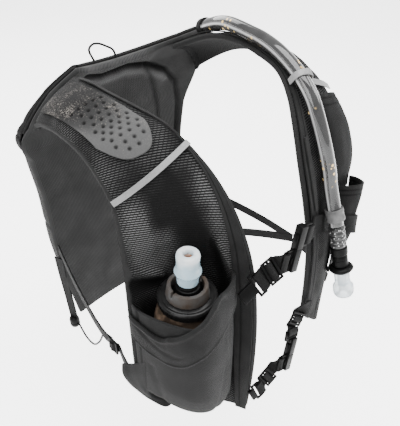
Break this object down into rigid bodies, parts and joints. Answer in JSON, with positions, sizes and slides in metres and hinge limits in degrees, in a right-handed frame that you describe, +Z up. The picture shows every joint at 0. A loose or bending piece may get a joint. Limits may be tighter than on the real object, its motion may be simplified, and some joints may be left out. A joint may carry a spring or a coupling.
{
  "type": "running hydration vest",
  "caption": "Open running vest with shoulder panels, a slim back bag, stretch pockets, a soft flask, a drinking hose and fastened chest straps",
  "frame": {"origin": "on the shoulder line, midway between the shoulder panels, where a stand or hanger would hold the vest", "axes": "+Z up, front of the vest at -Y, wearer's left at +X"},
  "size_m": [0.2462, 0.2858, 0.3369],
  "materials": {
    "mesh": "knitted mesh with short pale dashes",
    "lining": "smooth ribbed knit",
    "shell": "plain woven, matt",
    "stretch": "stretch twill, matt",
    "patch": "speckled, matt",
    "binding": "woven tape, matt",
    "reflective": "satin grey tape",
    "webbing": "woven webbing, matt",
    "plastic": "moulded, glossy",
    "cap": "moulded, glossy",
    "silicone": "frosted clear",
    "flask": "soft film, tinted",
    "hose": "clear, glossy"
  },
  "bodies": {
    "root": {"back_panel": "lining", "pack_shell": "shell", "pack_rim": "shell", "strap_right": "mesh", "strap_left": "mesh", "binding_right": "binding", "binding_left": "binding", "patch_right": "patch", "reflective_strip_right": "reflective", "pocket_right": "stretch", "pocket_cuff_right": "stretch", "flask_body": "flask", "flask_cap": "cap", "flask_lock_ring": "cap", "flask_valve_stem": "plastic", "flask_bite_valve": "silicone", "zip_flap_left": "binding", "pocket_upper_left": "stretch", "pocket_flask_left": "stretch", "hose": "hose", "hose_ferrule": "hose", "hose_valve_body": "plastic", "hose_valve_flange": "plastic", "hose_bite_valve": "silicone", "hose_port": "shell", "hose_strip_left": "reflective", "hang_loop": "webbing", "upper_hook_right": "plastic", "upper_slider": "plastic", "upper_web_right": "webbing", "upper_clip_socket": "plastic", "upper_clip_plug": "plastic", "upper_web_left": "webbing", "hose_keeper": "silicone", "lower_anchor_right": "plastic", "lower_slider_right": "plastic", "lower_web_right": "webbing", "lower_clip_socket": "plastic", "lower_clip_plug": "plastic", "lower_slider_left": "plastic", "lower_web_left": "webbing", "side_web_right": "webbing", "side_slider_right": "plastic", "pack_tail_right": "webbing", "cord_lock_right": "plastic", "side_cord_right": "webbing", "side_web_left": "webbing", "side_tab_left": "webbing"}
  },
  "joints": []
}
